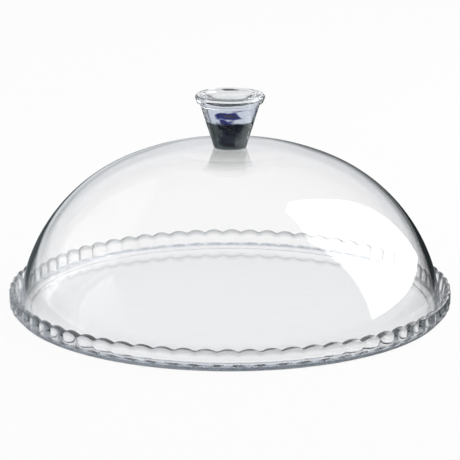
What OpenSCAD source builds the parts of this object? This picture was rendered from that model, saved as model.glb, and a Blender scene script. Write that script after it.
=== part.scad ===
// Glass cake plate with a dome: a low pressed plate with a scalloped upright
// rim, and a blown dome that rests on its floor and is lifted by a solid knob.
// Millimetres, +Z up, origin at the centre of the plate's foot.

/* [Plate] */
// Width of the plate across its scallop crests
plate_d = 322; // [300:1:360]
// Height of the plate at a scallop crest
plate_h = 16.5; // [12:0.5:22]
// How far the rim's crests stand out past the plate's foot
rim_spread = 5; // [2:0.5:8]
// Height of the plate's floor above the table
floor_h = 4.2; // [3:0.1:6]
// Thickness of the rim at a scallop crest
rim_t = 3.8; // [3:0.1:6]
// How far the rim's inside leans out between floor and top
inner_lean = 1.8; // [0.5:0.1:4]
// Radius where the floor turns up into the rim
floor_fillet = 1.4; // [0.5:0.1:3]
// Width of the ring that the plate stands on
foot_ring_w = 11; // [6:0.5:20]
// Depth of the hollow inside the foot ring
foot_hollow = 0.8; // [0.4:0.1:1.5]
// Rounding at the outside of the foot
foot_round = 1.2; // [0.4:0.1:2.5]

/* [Scallops] */
// Number of scallops around the rim
scallops = 68; // [48:1:90]
// How far a crest stands out past the groove beside it
scallop_depth = 1.7; // [0.8:0.1:2.5]
// How far a crest rises above the dip beside it
scallop_rise = 2.4; // [1.5:0.1:3.5]
// Height at which a crest meets the sloping foot of the rim
scallop_foot = 5.5; // [3.5:0.5:10]
// Width of the flat left on top of each crest
crest_land = 0.5; // [0.3:0.1:1.5]

/* [Dome] */
// Gap between the dome's rim and the inside of the plate's rim, at the floor
dome_gap = 1.5; // [1:0.1:8]
// Thickness of the dome's wall
dome_t = 3.4; // [2.6:0.1:5]
// Angle at which the side leans in at the rim
dome_lean = 6; // [2:0.5:12]
// Rounding of the dome's rim, inside and outside
dome_edge = 1.1; // [0.4:0.1:1.2]
// Radius of the crown's curve
crown_r = 198.5; // [190:0.5:240]
// How far from the axis the crown's curve meets the shoulder's
crown_edge = 79.5; // [70:0.5:95]
// How far the crown's top is flattened below the height that its curve would reach
seat_drop = 4; // [1:0.1:6]
// Radius of the nearly flat curve round the knob's seat
top_r = 300; // [250:5:400]
// Radius of the bend between the flattened top and the crown's curve
top_bend_r = 90; // [50:5:120]

/* [Knob] */
// Height of the knob above its seat
knob_h = 38.8; // [26:0.2:50]
// Width of the knob's foot
knob_foot_d = 23.4; // [16:0.2:30]
// Width of the knob across its lip
knob_lip_d = 50.4; // [40:0.2:60]
// Height of the lip
knob_lip_h = 6; // [4:0.2:10]
// Slope of the lip's side, inwards at its lower edge
knob_lip_slope = 1.3; // [0.5:0.1:3]
// How far the lip's lower edge stands out past the knob's neck
knob_overhang = 2; // [1:0.1:5]
// Rounding at the top of the lip
knob_lip_round = 2.2; // [1:0.1:2.8]
// Width of the lip's top between its side and the dish
knob_land = 5.2; // [3:0.1:8]
// Depth of the dish in the knob's top
knob_dish_h = 4.6; // [2:0.2:7]

/* [Hidden] */

glass_tint = [0.86, 0.91, 0.92, 0.45];
knob_tint = [0.62, 0.68, 0.72, 0.6];

// Extra length by which one shape runs past another that it cuts
past = 1;
// Steps in an arc, and facets of a turned shape
arc_steps = 14;
turn_steps = 216;

// The plate: its outside slopes out from the foot, and its inside leans out too
crest_r = plate_d / 2;
foot_r = crest_r - rim_spread;
rim_top_r = crest_r - rim_t;
rim_floor_r = rim_top_r - inner_lean;
rim_draft = atan2(rim_spread, scallop_foot);

// The scallops: each crest is a part of a circle seen from above, and an arch
// seen from the front
scallop_step = 360 / scallops;
half_pitch = crest_r * sin(scallop_step / 2);
flute_r = (pow(half_pitch, 2) + pow(scallop_depth, 2)) / (2 * scallop_depth);
arch_r = (pow(half_pitch, 2) + pow(scallop_rise, 2)) / (2 * scallop_rise);
dip_h = plate_h - scallop_rise;

// The dome: the crown's centre is on the axis, and the shoulder's circle runs on
// from the crown's edge, tangent to it, to the rim
dome_r = rim_floor_r - dome_gap;
crown_angle = acos(crown_edge / crown_r);
shoulder_r = (dome_r - crown_edge) / (cos(dome_lean) - cos(crown_angle));
shoulder_x = dome_r - shoulder_r * cos(dome_lean);
shoulder_z = floor_h - shoulder_r * sin(dome_lean);
crown_z = shoulder_z - (crown_r - shoulder_r) * sin(crown_angle);

// The flattened top: a wide curve from the edge of the knob's seat, and a bend that
// touches both it and the crown's curve
seat_r = knob_foot_d / 2 + 1;
seat_z = crown_z + crown_r - seat_drop;
top_at = [seat_r, seat_z - top_r];
bend_at = meeting([0, crown_z], crown_r - top_bend_r, top_at, top_r - top_bend_r);
bend_low = angle_of(bend_at - [0, crown_z]);
bend_high = angle_of(bend_at - top_at);

// The knob: it stands on the flat seat in the middle of the crown
knob_top = seat_z + knob_h;
knob_lip_r = knob_lip_d / 2;
knob_lip_z = knob_top - knob_lip_h;
knob_neck_r = knob_lip_r - knob_lip_slope - knob_overhang;
knob_dish_r = knob_lip_r - knob_land;

// Points of an arc from angle a0 to a1 about the centre c, without its first one if first is 1
function arc(c, r, a0, a1, first = 0) =
    [for (i = [first:arc_steps]) let (a = a0 + (a1 - a0) * i / arc_steps) c + r * [cos(a), sin(a)]];

function angle_of(v) = atan2(v[1], v[0]);

// Where two circles about p and q meet, to the left of the way from p to q
function meeting(p, p_r, q, q_r) = let (
    d = norm(q - p),
    way = (q - p) / d,
    along = (pow(d, 2) + pow(p_r, 2) - pow(q_r, 2)) / (2 * d))
    p + along * way + sqrt(pow(p_r, 2) - pow(along, 2)) * [-way[1], way[0]];

function reversed(points) = [for (i = [len(points) - 1:-1:0]) points[i]];

// Where the rounding of the dome's rim is centred, on a circle about the shoulder's centre
function edge_angle(r) = asin((floor_h + dome_edge - shoulder_z) / r);
function edge_at(r) = [shoulder_x, shoulder_z] + r * [cos(edge_angle(r)), sin(edge_angle(r))];

// One face of the dome, at a depth inside its outer face: shoulder, crown, bend, top and seat
function dome_face(depth, start) = concat(
    arc([shoulder_x, shoulder_z], shoulder_r - depth, start, crown_angle, 1),
    arc([0, crown_z], crown_r - depth, crown_angle, bend_low, 1),
    arc(bend_at, top_bend_r - depth, bend_low, bend_high, 1),
    arc(top_at, top_r - depth, bend_high, 90, 1),
    [[0, seat_z - depth]]);

// Section of the plate before its scallops are shaped
module plate_section() {
    foot_at = [foot_r - foot_round * (1 - sin(rim_draft)) / cos(rim_draft), foot_round];
    fillet_at = [rim_floor_r - floor_fillet, floor_h + floor_fillet];
    polygon(concat(
        [[0, foot_hollow],
         [foot_r - foot_ring_w, foot_hollow],
         [foot_r - foot_ring_w + foot_hollow, 0]],
        arc(foot_at, foot_round, -90, -rim_draft),
        [[crest_r + past, scallop_foot + past / tan(rim_draft)],
         [crest_r + past, plate_h],
         [rim_top_r, plate_h]],
        arc(fillet_at, floor_fillet, 0, -90),
        [[0, floor_h]]));
}

// Column whose outside has one round bulge for each scallop
module flutes() {
    translate([0, 0, -past])
        linear_extrude(plate_h + 2 * past) {
            circle(r = crest_r - flute_r, $fn = turn_steps);
            for (i = [0:scallops - 1])
                rotate(i * scallop_step)
                    translate([crest_r - flute_r, 0])
                        circle(r = flute_r, $fn = turn_steps);
        }
}

// What is cut from the rim's top between two crests, leaving half an arch on either side
module dip() {
    cut_w = 2 * half_pitch - crest_land;
    rotate([90, 0, 90])
        linear_extrude(crest_r - rim_floor_r + 4 * past)
            difference() {
                translate([-cut_w / 2, dip_h - past])
                    square([cut_w, scallop_rise + 2 * past]);
                for (side = [-1, 1])
                    translate([side * half_pitch, plate_h - arch_r])
                        circle(r = arch_r, $fn = turn_steps);
            }
}

module plate() {
    color(glass_tint)
        difference() {
            intersection() {
                rotate_extrude($fn = turn_steps) plate_section();
                flutes();
            }
            for (i = [0:scallops - 1])
                rotate((i + 0.5) * scallop_step)
                    translate([rim_floor_r - 2 * past, 0, 0])
                        dip();
        }
}

module dome() {
    outer = shoulder_r - dome_edge;
    inner = shoulder_r - dome_t + dome_edge;
    color(glass_tint)
        rotate_extrude($fn = turn_steps)
            polygon(concat(
                arc(edge_at(outer), dome_edge, -90, edge_angle(outer)),
                dome_face(0, edge_angle(outer)),
                reversed(dome_face(dome_t, edge_angle(inner))),
                arc(edge_at(inner), dome_edge, 180 + edge_angle(inner), 270)));
}

// The knob is solid: foot, flaring side, overhanging lip and dished top
module knob() {
    bowl_r = (pow(knob_dish_r, 2) + pow(knob_dish_h, 2)) / (2 * knob_dish_h);
    bowl_angle = asin(knob_dish_r / bowl_r);
    color(knob_tint)
        rotate_extrude($fn = turn_steps)
            polygon(concat(
                [[0, seat_z],
                 [knob_foot_d / 2, seat_z],
                 [knob_neck_r, knob_lip_z],
                 [knob_lip_r - knob_lip_slope, knob_lip_z]],
                arc([knob_lip_r - knob_lip_round, knob_top - knob_lip_round], knob_lip_round, 0, 90),
                arc([0, knob_top - knob_dish_h + bowl_r], bowl_r, bowl_angle - 90, -90)));
}

plate();
dome();
knob();
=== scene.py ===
# Glass cake plate with a dome and a solid knob: the finish of every surface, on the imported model's sizes
import math
import bmesh
import bpy
from mathutils import Matrix, Vector


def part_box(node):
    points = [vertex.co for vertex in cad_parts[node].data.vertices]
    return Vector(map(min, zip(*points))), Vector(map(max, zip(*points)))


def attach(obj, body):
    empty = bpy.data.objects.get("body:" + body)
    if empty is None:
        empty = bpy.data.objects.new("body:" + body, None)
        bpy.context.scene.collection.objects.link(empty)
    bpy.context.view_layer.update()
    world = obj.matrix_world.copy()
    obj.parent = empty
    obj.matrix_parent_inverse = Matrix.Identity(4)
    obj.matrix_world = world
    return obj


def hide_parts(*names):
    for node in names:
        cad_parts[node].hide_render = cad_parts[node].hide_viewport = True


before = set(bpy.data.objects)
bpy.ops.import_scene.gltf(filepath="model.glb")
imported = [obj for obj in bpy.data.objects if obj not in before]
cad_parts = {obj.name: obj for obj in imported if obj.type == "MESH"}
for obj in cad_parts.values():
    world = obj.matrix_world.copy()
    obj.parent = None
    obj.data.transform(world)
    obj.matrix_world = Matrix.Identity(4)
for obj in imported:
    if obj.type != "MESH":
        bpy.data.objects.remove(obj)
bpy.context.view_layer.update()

MM = 0.001

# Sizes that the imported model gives
plate_box, dome_box, knob_box = (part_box(name) for name in ("plate", "dome", "knob"))
crest_r = plate_box[1][0]
plate_h = plate_box[1][2]
floor_h = dome_box[0][2]
seat_z = knob_box[0][2]
knob_top = knob_box[1][2]
lip_r = knob_box[1][0]

# Sizes inside those, as in the model's source
rim_spread = 5 * MM
rim_t = 3.8 * MM
inner_lean = 1.8 * MM
floor_fillet = 1.4 * MM
foot_ring_w = 11 * MM
foot_hollow = 0.8 * MM
foot_round = 1.2 * MM
scallops = 68
scallop_depth = 1.7 * MM
scallop_rise = 2.4 * MM
scallop_foot = 5.5 * MM
dome_gap = 1.5 * MM
dome_t = 3.4 * MM
dome_lean = math.radians(6)
dome_edge = 1.1 * MM
crown_r = 198.5 * MM
crown_edge = 79.5 * MM
top_r = 300 * MM
top_bend_r = 90 * MM
knob_foot_r = 11.7 * MM
seat_land = 1 * MM
lip_h = 6 * MM
lip_slope = 1.3 * MM
lip_overhang = 2 * MM
lip_round = 2.2 * MM
lip_land = 5.2 * MM
dish_h = 4.6 * MM

# Rounding that pressing and fire-polishing leave: on edges, on the rim's top outside and inside, and in
# the valleys between two arches and between two flutes
soft_edge = 0.5 * MM
round_out = 2.2 * MM
round_in = 1.3 * MM
arch_blend = 2.2 * MM
flute_blend = 1.2 * MM
# Air between pieces that only rest on each other, and how far the bonded knob sinks into its seat
air = 0.03 * MM
bond = 0.1 * MM

# Rim radii at a crest, and the scallops' circles
pitch = math.tau / scallops
foot_r = crest_r - rim_spread
rim_top_r = crest_r - rim_t
rim_floor_r = rim_top_r - inner_lean
half_pitch = crest_r * math.sin(pitch / 2)
flute_r = (half_pitch ** 2 + scallop_depth ** 2) / (2 * scallop_depth)
arch_r = (half_pitch ** 2 + scallop_rise ** 2) / (2 * scallop_rise)

# Steps across a scallop, and how much closer they lie in its valleys
scallop_steps = 18
valley_share = 0.3
# Steps round the dome and the knob
dome_steps = 320
knob_steps = 224
# Points closer than this become one
weld = 1e-7

# Grain that the mould leaves on the plate's foot, drawn coarser than the real one so that it shows: its
# width and height, and over what length it comes in at the slope's inner edge
grain_w = 1.3 * MM
grain_h = 1.0 * MM
grain_fade = 2 * MM
# Unevenness of the edge of the painted shade on the knob's stem: its width, and its height as a share of
# the knob's height
shade_noise_w = 9 * MM
shade_noise_share = 0.05

# Table: its radius, how far it lies below the foot, and the share of its tone in the picture that is its
# own glow, the rest being the light that falls on it
table_r = 40
table_drop = 0.2 * MM
glow_share = 0.95

# Lamp: its middle, width and height, its brightness, and that of the card that bent rays see in its place.
# The line that cuts its upper near corner off rises along Y from a height at Y = 0.
lamp_place = (1.0, 0.42, 1.45)
lamp_w, lamp_h = 1.27, 2.7
lamp_bright, card_bright = 4.0, 0.45
cut_rise, cut_z = 1.5, 1.81

# Camera: how far from the axis and how high it stands, how far it is turned and tilted, and its lens
camera_away, camera_z = 1.6103, 0.4867
camera_turn, camera_tilt = math.radians(0.57), math.radians(14.965)
camera_lens, camera_sensor = 179.2, 36


def linear(code):
    """Linear RGBA of an sRGB hex colour."""
    parts = [int(code[i:i + 2], 16) / 255 for i in (1, 3, 5)]
    return [p / 12.92 if p <= 0.04045 else ((p + 0.055) / 1.055) ** 2.4 for p in parts] + [1.0]


def node(tree, kind, values=None, stops=(), **settings):
    """Adds a node with its settings, sets or links each input in values, and gives a colour ramp its stops,
    each a position and an sRGB hex colour."""
    made = tree.nodes.new(kind)
    for name, value in settings.items():
        setattr(made, name, value)
    for key, value in (values or {}).items():
        if isinstance(value, bpy.types.NodeSocket):
            tree.links.new(value, made.inputs[key])
        else:
            made.inputs[key].default_value = value
    for i, (position, code) in enumerate(stops):
        if i == len(made.color_ramp.elements):
            made.color_ramp.elements.new(position)
        made.color_ramp.elements[i].position = position
        made.color_ramp.elements[i].color = linear(code)
    return made


class Section:
    """Half a section in the XZ plane, drawn from the axis back to the axis and then turned about Z."""

    def __init__(self, x, z):
        self.bm = bmesh.new()
        self.tip = bmesh.ops.create_vert(self.bm, co=(x, 0, z))["vert"][0]

    def line(self, x, z, steps=1):
        """Goes straight on to a point."""
        start, end = self.tip.co.copy(), Vector((x, 0, z))
        for i in range(steps):
            self.tip = bmesh.ops.extrude_vert_indiv(self.bm, verts=[self.tip])["verts"][0]
            self.tip.co = start.lerp(end, (i + 1) / steps)

    def arc(self, x, z, turn, steps):
        """Goes on round the centre x, z by an angle, anticlockwise where it is positive."""
        made = bmesh.ops.spin(
            self.bm, geom=[self.tip], cent=(x, 0, z), axis=(0, -1, 0), angle=turn, steps=steps,
            use_duplicate=False,
        )
        self.tip = next(g for g in made["geom_last"] if isinstance(g, bmesh.types.BMVert))

    def turned(self, steps, angle=math.tau):
        """The section turned about Z: a closed solid after a full turn, and a sector of one otherwise."""
        bmesh.ops.spin(
            self.bm, geom=self.bm.verts[:] + self.bm.edges[:], cent=(0, 0, 0), axis=(0, 0, 1), angle=angle,
            steps=steps, use_merge=angle == math.tau, use_duplicate=False,
        )
        return self.bm


def closed(bm):
    """Joins what a full turn brought together, with every face pointing out."""
    bmesh.ops.remove_doubles(bm, verts=bm.verts[:], dist=weld)
    bmesh.ops.recalc_face_normals(bm, faces=bm.faces[:])
    return bm


def piece(name, bm, material):
    """A smooth-shaded object at the origin from a finished bmesh."""
    mesh = bpy.data.meshes.new(name)
    bm.to_mesh(mesh)
    bm.free()
    mesh.materials.append(material)
    mesh.shade_smooth()
    made = bpy.data.objects.new(name, mesh)
    bpy.context.scene.collection.objects.link(made)
    return made


def cone_r(z):
    """Radius of the foot's slope at a height, which runs on above the scallops' foot."""
    return foot_r + rim_spread * z / scallop_foot


def inside_r(z):
    """Radius of the rim's inner wall at a height."""
    return rim_floor_r + inner_lean * (z - floor_h) / (plate_h - floor_h)


def blended(a, b, blend):
    """The lesser of two lengths, or the greater where blend is below zero, with a soft change between."""
    h = max(abs(blend) - abs(a - b), 0) / abs(blend)
    return (min(a, b) if blend > 0 else max(a, b)) - h * h * blend / 4


def flute(a):
    """Outer radius of a scallop at an angle from its crest."""
    centre = crest_r - flute_r
    return centre * math.cos(a) + math.sqrt(flute_r ** 2 - (centre * math.sin(a)) ** 2)


def arch(a):
    """Height of a scallop's top at an angle from its crest."""
    return plate_h - arch_r + math.sqrt(max(arch_r ** 2 - (crest_r * math.sin(a)) ** 2, 0))


def shape_scallop(bm):
    """Draws one sector of the plain rim in to its flute and down to its arch, with soft valleys beside it.
    The attribute up_rim keeps how far up the rim each point is, from 0 at the floor to 1 along the top."""
    level = floor_h + soft_edge
    up_rim = bm.verts.layers.float.new("up_rim")
    for v in bm.verts:
        r = math.hypot(v.co.x, v.co.y)
        u = math.atan2(v.co.y, v.co.x) / (pitch / 2)
        a = pitch / 2 * ((1 + valley_share) * u - valley_share * u ** 3)
        z = v.co.z
        if z > level and r > rim_floor_r - soft_edge:
            top = blended(arch(a), arch(pitch - abs(a)), -arch_blend)
            out = blended(flute(a), flute(pitch - abs(a)), -flute_blend)
            v[up_rim] = (z - level) / (plate_h - level)
            z = level + (z - level) * (top - level) / (plate_h - level)
            share = (r - inside_r(v.co.z)) / (min(cone_r(v.co.z), crest_r) - inside_r(v.co.z))
            r = inside_r(z) + share * (blended(cone_r(z), out, soft_edge) - inside_r(z))
        elif r > foot_r:
            out = blended(flute(a), flute(pitch - abs(a)), -flute_blend)
            r = blended(r, out, soft_edge)
        v.co = (r * math.cos(a), r * math.sin(a), z)


def make_plate():
    """The pressed plate: foot ring, flat floor and scalloped rim, as one scallop repeated all round."""
    lean = math.atan2(rim_spread, scallop_foot)
    foot_x = foot_r - foot_round * (1 - math.sin(lean)) / math.cos(lean)
    ring_x = foot_r - foot_ring_w
    fillet_r = inside_r(floor_h + floor_fillet) - floor_fillet
    s = Section(0, foot_hollow)
    s.line(ring_x - 2 * soft_edge, foot_hollow)
    s.line(ring_x, foot_hollow)
    s.line(ring_x + foot_hollow, 0, 2)
    s.line(ring_x + foot_hollow + soft_edge, 0)
    s.line(foot_x - soft_edge, 0)
    s.line(foot_x, 0)
    s.arc(foot_x, foot_round, math.pi / 2 - lean, 4)
    s.line(crest_r, scallop_foot, 12)
    s.line(crest_r, plate_h - round_out, 9)
    s.arc(crest_r - round_out, plate_h - round_out, math.pi / 2, 6)
    s.line(rim_top_r + round_in, plate_h)
    s.arc(rim_top_r + round_in, plate_h - round_in, math.pi / 2, 6)
    s.line(inside_r(floor_h + floor_fillet), floor_h + floor_fillet, 5)
    s.arc(fillet_r, floor_h + floor_fillet, -math.pi / 2, 5)
    s.line(rim_floor_r - 3 * floor_fillet, floor_h)
    s.line(0, floor_h)
    bm = s.turned(scallop_steps, pitch)
    middle = Matrix.Rotation(-pitch / 2, 3, "Z")
    bmesh.ops.rotate(bm, verts=bm.verts[:], cent=(0, 0, 0), matrix=middle)
    shape_scallop(bm)
    bmesh.ops.remove_doubles(bm, verts=bm.verts[:], dist=weld)
    bmesh.ops.spin(
        bm, geom=bm.verts[:] + bm.edges[:] + bm.faces[:], cent=(0, 0, 0), axis=(0, 0, 1),
        angle=math.tau - pitch, steps=scallops - 1, use_duplicate=True,
    )
    return closed(bm)


def make_dome():
    """The blown dome: rounded rim, shoulder, crown, and the nearly flat top that holds the knob."""
    dome_r = rim_floor_r - dome_gap
    crown_a = math.acos(crown_edge / crown_r)
    shoulder_r = (dome_r - crown_edge) / (math.cos(dome_lean) - math.cos(crown_a))
    shoulder_x = dome_r - shoulder_r * math.cos(dome_lean)
    shoulder_z = floor_h - shoulder_r * math.sin(dome_lean)
    crown_z = shoulder_z - (crown_r - shoulder_r) * math.sin(crown_a)
    edge_z = floor_h + dome_edge + air

    # The bend's centre lies where two circles meet, one about the crown's centre and one about the top's
    top_x, top_z = knob_foot_r + seat_land, seat_z - top_r
    way = Vector((top_x, top_z - crown_z))
    reach = ((crown_r - top_bend_r) ** 2 - (top_r - top_bend_r) ** 2 + way.length ** 2) / (2 * way.length)
    aside = math.sqrt((crown_r - top_bend_r) ** 2 - reach ** 2)
    way.normalize()
    bend_x, bend_z = reach * way.x - aside * way.y, crown_z + reach * way.y + aside * way.x
    bend_low = math.atan2(bend_z - crown_z, bend_x)
    bend_high = math.atan2(bend_z - top_z, bend_x - top_x)

    def edge_angle(r):
        return math.asin((edge_z - shoulder_z) / r)

    outer, inner = shoulder_r - dome_edge, shoulder_r - dome_t + dome_edge
    outer_x = shoulder_x + outer * math.cos(edge_angle(outer))
    inner_x = shoulder_x + inner * math.cos(edge_angle(inner))
    s = Section(0, seat_z)
    s.line(top_x - soft_edge, seat_z)
    s.line(top_x, seat_z)
    s.arc(top_x, top_z, bend_high - math.pi / 2, 8)
    s.arc(bend_x, bend_z, bend_low - bend_high, 10)
    s.arc(0, crown_z, crown_a - bend_low, 12)
    s.arc(shoulder_x, shoulder_z, edge_angle(outer) - crown_a, 44)
    s.arc(outer_x, edge_z, -math.pi / 2 - edge_angle(outer), 6)
    s.line(inner_x, floor_h + air, 2)
    s.arc(inner_x, edge_z, edge_angle(inner) - math.pi / 2, 6)
    s.arc(shoulder_x, shoulder_z, crown_a - edge_angle(inner), 44)
    s.arc(0, crown_z, bend_low - crown_a, 12)
    s.arc(bend_x, bend_z, bend_high - bend_low, 10)
    s.arc(top_x, top_z, math.pi / 2 - bend_high, 8)
    s.line(top_x - soft_edge, seat_z - dome_t)
    s.line(0, seat_z - dome_t)
    return closed(s.turned(dome_steps))


def make_knob():
    """The solid knob: foot, flaring side, overhanging lip and dished top. One point blunts the corner under
    the lip, and one the dish's edge."""
    neck_r = lip_r - lip_slope - lip_overhang
    dish_r = lip_r - lip_land
    bowl_r = (dish_r ** 2 + dish_h ** 2) / (2 * dish_h)
    bowl_a = math.asin((dish_r - soft_edge) / bowl_r)
    bowl_z = knob_top - dish_h + bowl_r
    lip_z = knob_top - lip_h
    flare = math.atan2(neck_r - knob_foot_r, lip_z - seat_z)
    side = math.atan2(lip_slope, lip_h - lip_round)
    foot_x = knob_foot_r - soft_edge * (1 - math.sin(flare)) / math.cos(flare)
    s = Section(0, seat_z - bond)
    s.line(foot_x - soft_edge, seat_z - bond)
    s.line(foot_x, seat_z - bond)
    s.arc(foot_x, seat_z - bond + soft_edge, math.pi / 2 - flare, 4)
    s.line(neck_r - soft_edge * math.sin(flare), lip_z - soft_edge * math.cos(flare), 16)
    s.line(neck_r + soft_edge * 0.3, lip_z - soft_edge * 0.2)
    s.line(neck_r + soft_edge, lip_z)
    s.line(lip_r - lip_slope - soft_edge, lip_z, 3)
    s.arc(lip_r - lip_slope - soft_edge, lip_z + soft_edge, math.pi / 2 - side, 4)
    s.line(lip_r, knob_top - lip_round, 5)
    s.arc(lip_r - lip_round, knob_top - lip_round, math.pi / 2, 10)
    s.line(dish_r + soft_edge, knob_top, 3)
    s.line(dish_r, knob_top - soft_edge * 0.1)
    s.line(bowl_r * math.sin(bowl_a), bowl_z - bowl_r * math.cos(bowl_a))
    s.arc(0, bowl_z, -bowl_a, 18)
    return closed(s.turned(knob_steps))


def clear_glass(name, wave_w, wave_h, absorb, density):
    """A clear glass material and its shader, with the faint waves that its making leaves in its faces, and
    its colour in its thickness."""
    material = bpy.data.materials.new(name)
    material.use_nodes = True
    tree = material.node_tree
    tree.nodes.clear()
    place = node(tree, "ShaderNodeTexCoord").outputs["Object"]
    wave = node(tree, "ShaderNodeTexNoise", {"Vector": place, "Scale": 1 / wave_w, "Detail": 1.0})
    bump = node(tree, "ShaderNodeBump", {
        "Height": wave.outputs["Fac"], "Strength": 1.0, "Distance": wave_h,
    })
    glass = node(tree, "ShaderNodeBsdfPrincipled", {
        "Roughness": 0.0, "IOR": 1.52, "Transmission Weight": 1.0, "Normal": bump.outputs["Normal"],
    })
    depth = node(tree, "ShaderNodeVolumeAbsorption", {"Color": linear(absorb), "Density": density})
    node(tree, "ShaderNodeOutputMaterial", {"Surface": glass.outputs[0], "Volume": depth.outputs[0]})
    return material, glass


def pressed_glass():
    """Pressed soda-lime glass: clear, a little blue-grey in its thickness, and softly uneven. Its sloping
    foot keeps the mould's grain, with blue-grey painted shade in it, and the top of its fire-polished rim
    is painted grey as painted shade."""
    material, glass = clear_glass(
        "pressed soda-lime glass", wave_w=14 * MM, wave_h=0.02 * MM, absorb="#A8B6C2", density=3.0
    )
    tree = material.node_tree
    place = node(tree, "ShaderNodeTexCoord").outputs["Object"]
    grain = node(tree, "ShaderNodeTexNoise", {"Vector": place, "Scale": 1 / grain_w, "Detail": 2.0})
    height = node(tree, "ShaderNodeSeparateXYZ", {0: place}).outputs["Z"]
    flat = node(tree, "ShaderNodeVectorMath", {0: place, 1: (1, 1, 0)}, operation="MULTIPLY")
    away = node(tree, "ShaderNodeVectorMath", {0: flat.outputs[0]}, operation="LENGTH")
    low = node(tree, "ShaderNodeMapRange", {
        "Value": height, "From Min": scallop_foot - soft_edge, "From Max": scallop_foot + soft_edge,
        "To Min": 1.0, "To Max": 0.0,
    })
    far = node(tree, "ShaderNodeMapRange", {
        "Value": away.outputs["Value"], "From Min": foot_r - grain_fade, "From Max": foot_r,
    })
    mould = node(tree, "ShaderNodeMath", {0: low.outputs[0], 1: far.outputs[0]}, operation="MULTIPLY")
    rough = node(tree, "ShaderNodeBump", {
        "Height": grain.outputs["Fac"], "Strength": mould.outputs[0], "Distance": grain_h,
        "Normal": glass.inputs["Normal"].links[0].from_socket,
    })
    # Painted shade: blue-grey patches painted into the glass along the grain of the foot's slope
    foot_shade = node(tree, "ShaderNodeValToRGB", {"Fac": grain.outputs["Fac"]}, stops=[
        (0.4, "#BCC6CE"), (0.6, "#F4F7F9"),
    ])
    # Painted shade: the rim is painted greyer towards its top, standing in for the grey that its rounded
    # top refracts
    up_rim = node(tree, "ShaderNodeAttribute", attribute_name="up_rim")
    edge = node(tree, "ShaderNodeValToRGB", {"Fac": up_rim.outputs["Fac"]}, stops=[
        (0.6, "#FFFFFF"), (0.73, "#E7E8E9"), (0.82, "#D5D7D9"), (0.91, "#BDC0C3"), (1.0, "#B0B4B7"),
    ])
    shade = node(tree, "ShaderNodeMix", {
        "Factor": mould.outputs[0], "A": edge.outputs["Color"], "B": foot_shade.outputs["Color"],
    }, data_type="RGBA")
    tree.links.new(rough.outputs["Normal"], glass.inputs["Normal"])
    tree.links.new(shade.outputs["Result"], glass.inputs["Base Color"])
    return material


def blown_glass():
    """Blown soda-lime glass: a thin even wall with slow waves, and next to no colour."""
    material, glass = clear_glass(
        "blown soda-lime glass", wave_w=45 * MM, wave_h=0.03 * MM, absorb="#C8CCD0", density=1.0
    )
    glass.inputs["Base Color"].default_value = linear("#FFFFFF")
    return material


def cast_glass():
    """Cast solid glass: thick, grey and rippled. Its stem is painted nearly black, as painted shade where
    little light comes through."""
    material, glass = clear_glass(
        "cast solid glass", wave_w=9 * MM, wave_h=0.6 * MM, absorb="#B8C0C8", density=6.0
    )
    tree = material.node_tree
    place = node(tree, "ShaderNodeTexCoord").outputs["Object"]
    height = node(tree, "ShaderNodeSeparateXYZ", {0: place}).outputs["Z"]
    shade_noise = node(tree, "ShaderNodeTexNoise", {"Vector": place, "Scale": 1 / shade_noise_w, "Detail": 2.0})
    level = node(tree, "ShaderNodeMapRange", {"Value": height, "From Min": seat_z, "From Max": knob_top})
    uneven = node(tree, "ShaderNodeMath", {
        0: shade_noise.outputs["Fac"], 1: shade_noise_share, 2: level.outputs[0],
    }, operation="MULTIPLY_ADD")
    # Painted shade: the stem, up to about half the knob's height, is painted nearly black with an uneven
    # edge
    shade = node(tree, "ShaderNodeValToRGB", {"Fac": uneven.outputs[0]}, stops=[
        (0.0, "#4A524F"), (0.52, "#3C4442"), (0.56, "#EDEFF1"), (1.0, "#FFFFFF"),
    ])
    tree.links.new(shade.outputs["Color"], glass.inputs["Base Color"])
    return material


def unbent(tree):
    """The Light Path node, and a switch that is 1 on rays that come from the camera straight or through
    glass, and 0 after a reflection or on the way to a surface that they light."""
    path = node(tree, "ShaderNodeLightPath")
    turns = node(tree, "ShaderNodeMath", {
        0: path.outputs["Glossy Depth"], 1: path.outputs["Diffuse Depth"],
    }, operation="ADD")
    straight = node(tree, "ShaderNodeMath", {0: turns.outputs[0], 1: 0.5}, operation="LESS_THAN")
    return path, straight.outputs[0]


def mirrored(tree, path):
    """A switch that is 1 on rays that glass has reflected."""
    depth = path.outputs["Glossy Depth"]
    return node(tree, "ShaderNodeMath", {0: depth, 1: 0.5}, operation="GREATER_THAN").outputs[0]


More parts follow.
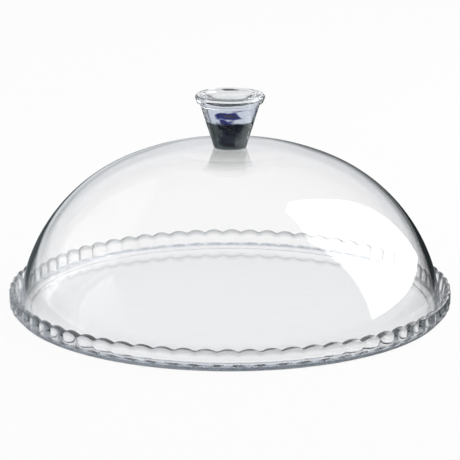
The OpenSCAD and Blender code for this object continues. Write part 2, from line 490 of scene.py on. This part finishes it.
def make_table():
    """A plain pale table that reaches the horizon: white in the picture, with the object's soft shadow, and
    a painted shadow that makes it a little greyer under the plate. Reflected, it is pale under the object,
    dark in a wide ring about it, and painted darker to the right as painted shade."""
    bm = bmesh.new()
    bmesh.ops.create_circle(bm, cap_ends=True, segments=64, radius=table_r)
    bmesh.ops.translate(bm, verts=bm.verts[:], vec=(0, 0, -table_drop))
    material = bpy.data.materials.new("matt white table")
    material.use_nodes = True
    tree = material.node_tree
    tree.nodes.clear()
    path, straight = unbent(tree)
    place = node(tree, "ShaderNodeTexCoord").outputs["Object"]
    away = node(tree, "ShaderNodeVectorMath", {0: place}, operation="LENGTH").outputs["Value"]
    # The stops of both ramps are radii in metres
    rings = node(tree, "ShaderNodeValToRGB", {"Fac": away}, stops=[
        (0.0, "#F8F9FA"), (0.135, "#F8F9FA"), (0.148, "#B0B7BD"), (0.185, "#B0B7BD"), (0.22, "#3A4042"),
        (0.75, "#3A4042"), (1.0, "#C8CCCE"),
    ])
    # Painted shadow of the plate: the table's glow is a little greyer under it
    under = node(tree, "ShaderNodeValToRGB", {"Fac": away}, stops=[
        (0.115, "#EAEDEE"), (0.145, "#FFFFFF"),
    ])
    # Painted shade: the rings darken from just left of the axis to the plate's right edge, as light falling
    # off to the right would
    across = node(tree, "ShaderNodeSeparateXYZ", {0: place}).outputs["X"]
    right = node(tree, "ShaderNodeMapRange", {
        "Value": across, "From Min": -0.05, "From Max": 0.16, "To Min": 1.05, "To Max": 0.25,
    })
    dimmed = node(tree, "ShaderNodeVectorMath", {
        0: rings.outputs["Color"], "Scale": right.outputs[0],
    }, operation="SCALE")
    shade = node(tree, "ShaderNodeMix", {
        "Factor": mirrored(tree, path), "A": linear("#F0F0F0"), "B": dimmed.outputs[0],
    }, data_type="RGBA")
    paint = node(tree, "ShaderNodeBsdfDiffuse", {"Color": shade.outputs["Result"]})
    glow = node(tree, "ShaderNodeEmission", {"Color": under.outputs["Color"], "Strength": 1.0})
    share = node(tree, "ShaderNodeMath", {0: straight, 1: glow_share}, operation="MULTIPLY")
    mixed = node(tree, "ShaderNodeMixShader", {
        0: share.outputs[0], 1: paint.outputs[0], 2: glow.outputs[0],
    })
    node(tree, "ShaderNodeOutputMaterial", {"Surface": mixed.outputs[0]})
    floor = piece("floor", bm, material)


def make_world():
    """Soft daylight and a white background, with a studio that only bent and reflected rays see. Bent ones
    see a low dark band with blue in it, and dark sides. Reflected ones see plain pale surroundings."""
    world = bpy.data.worlds.new("studio")
    bpy.context.scene.world = world
    world.use_nodes = True
    tree = world.node_tree
    tree.nodes.clear()
    path, straight = unbent(tree)
    place = node(tree, "ShaderNodeTexCoord").outputs["Generated"]
    way = node(tree, "ShaderNodeSeparateXYZ", {0: place})
    # Stops are heights, as the Z of a direction, except that those of the sides go from left to right
    beyond = node(tree, "ShaderNodeValToRGB", {"Fac": way.outputs["Z"]}, stops=[
        (0.0, "#FFFFFF"), (0.012, "#FFFFFF"), (0.02, "#7A8088"), (0.05, "#4A4560"), (0.1, "#2F2A4C"),
        (0.112, "#22307A"), (0.13, "#22307A"), (0.15, "#DCE2EE"), (1.0, "#F2F4F9"),
    ])
    across = node(tree, "ShaderNodeMapRange", {
        "Value": way.outputs["X"], "From Min": -1.0, "From Max": 1.0,
    })
    sides = node(tree, "ShaderNodeValToRGB", {"Fac": across.outputs[0]}, stops=[
        (0.0, "#6A737D"), (0.1, "#6A737D"), (0.14, "#FFFFFF"), (0.775, "#FFFFFF"), (0.825, "#5A626C"),
        (1.0, "#5A626C"),
    ])
    room = node(tree, "ShaderNodeMix", {
        "Factor": 1.0, "A": beyond.outputs["Color"], "B": sides.outputs["Color"],
    }, data_type="RGBA", blend_type="MULTIPLY")
    around = node(tree, "ShaderNodeValToRGB", {"Fac": way.outputs["Z"]}, stops=[
        (0.0, "#B6BABD"), (0.06, "#B6BABD"), (0.12, "#EEEFF3"), (0.26, "#EEEFF3"), (0.3, "#FEFDFF"),
        (1.0, "#FEFDFF"),
    ])
    light = node(tree, "ShaderNodeMix", {
        "Factor": mirrored(tree, path), "A": (0.5, 0.5, 0.5, 1), "B": around.outputs["Color"],
    }, data_type="RGBA")
    seen = node(tree, "ShaderNodeMix", {
        "Factor": path.outputs["Is Camera Ray"], "A": room.outputs["Result"], "B": (1, 1, 1, 1),
    }, data_type="RGBA")
    final = node(tree, "ShaderNodeMix", {
        "Factor": straight, "A": light.outputs["Result"], "B": seen.outputs["Result"],
    }, data_type="RGBA")
    sky = node(tree, "ShaderNodeBackground", {"Color": final.outputs["Result"], "Strength": 1.0})
    node(tree, "ShaderNodeOutputWorld", {"Surface": sky.outputs[0]})


def make_lamp():
    """A soft window to the right, which shows as a white shape on the dome. Its upper near corner is cut
    off, and rays that glass bends on their way from the camera see a pale grey card in its place."""
    data = bpy.data.lights.new("window", "AREA")
    data.shape = "RECTANGLE"
    data.size, data.size_y = lamp_w, lamp_h
    data.energy = math.pi * lamp_w * lamp_h
    data.use_nodes = True
    tree = data.node_tree
    tree.nodes.clear()
    path, straight = unbent(tree)
    bent = node(tree, "ShaderNodeMath", {
        0: straight, 1: path.outputs["Is Camera Ray"],
    }, operation="SUBTRACT")
    bright = node(tree, "ShaderNodeMix", {
        "Factor": bent.outputs[0], "A": lamp_bright, "B": card_bright,
    }, data_type="FLOAT")
    place = node(tree, "ShaderNodeNewGeometry").outputs["Position"]
    spot = node(tree, "ShaderNodeSeparateXYZ", {0: place})
    cut = node(tree, "ShaderNodeMath", {
        0: spot.outputs["Y"], 1: cut_rise, 2: cut_z,
    }, operation="MULTIPLY_ADD")
    below = node(tree, "ShaderNodeMath", {0: spot.outputs["Z"], 1: cut.outputs[0]}, operation="LESS_THAN")
    lit = node(tree, "ShaderNodeMath", {
        0: bright.outputs["Result"], 1: below.outputs[0],
    }, operation="MULTIPLY")
    glow = node(tree, "ShaderNodeEmission", {"Strength": lit.outputs[0]})
    node(tree, "ShaderNodeOutputLight", {"Surface": glow.outputs[0]})
    lamp = bpy.data.objects.new("window", data)
    lamp.location = lamp_place
    lamp.rotation_mode = "QUATERNION"
    lamp.rotation_quaternion = Vector((-1, 0, 0)).to_track_quat("-Z", "Y")
    bpy.context.scene.collection.objects.link(lamp)


def make_camera():
    """The photograph's view: a long lens over a metre and a half away, tilted down."""
    data = bpy.data.cameras.new("camera")
    data.lens, data.sensor_width = camera_lens, camera_sensor
    data.clip_end = 100
    camera = bpy.data.objects.new("camera", data)
    x, y = camera_away * math.sin(camera_turn), -camera_away * math.cos(camera_turn)
    camera.location = (x, y, camera_z)
    camera.rotation_euler = (math.pi / 2 - camera_tilt, 0, camera_turn)
    bpy.context.scene.collection.objects.link(camera)
    bpy.context.scene.camera = camera


plate = piece("plate_pressed", make_plate(), pressed_glass())
dome = piece("dome_blown", make_dome(), blown_glass())
knob = piece("knob_cast", make_knob(), cast_glass())
for made, cad_node, slot in (
    (plate, "plate", "plate_glass"),
    (dome, "dome", "dome_glass"),
    (knob, "knob", "knob_glass"),
):
    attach(made, "root")
    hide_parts(cad_node)

make_table()
make_world()
make_lamp()
make_camera()

# Enough bounces for light to cross the dome, the plate and the knob
scene = bpy.context.scene
scene.view_settings.view_transform = "Standard"
scene.cycles.max_bounces = 24
scene.cycles.glossy_bounces = 16
scene.cycles.transmission_bounces = 24
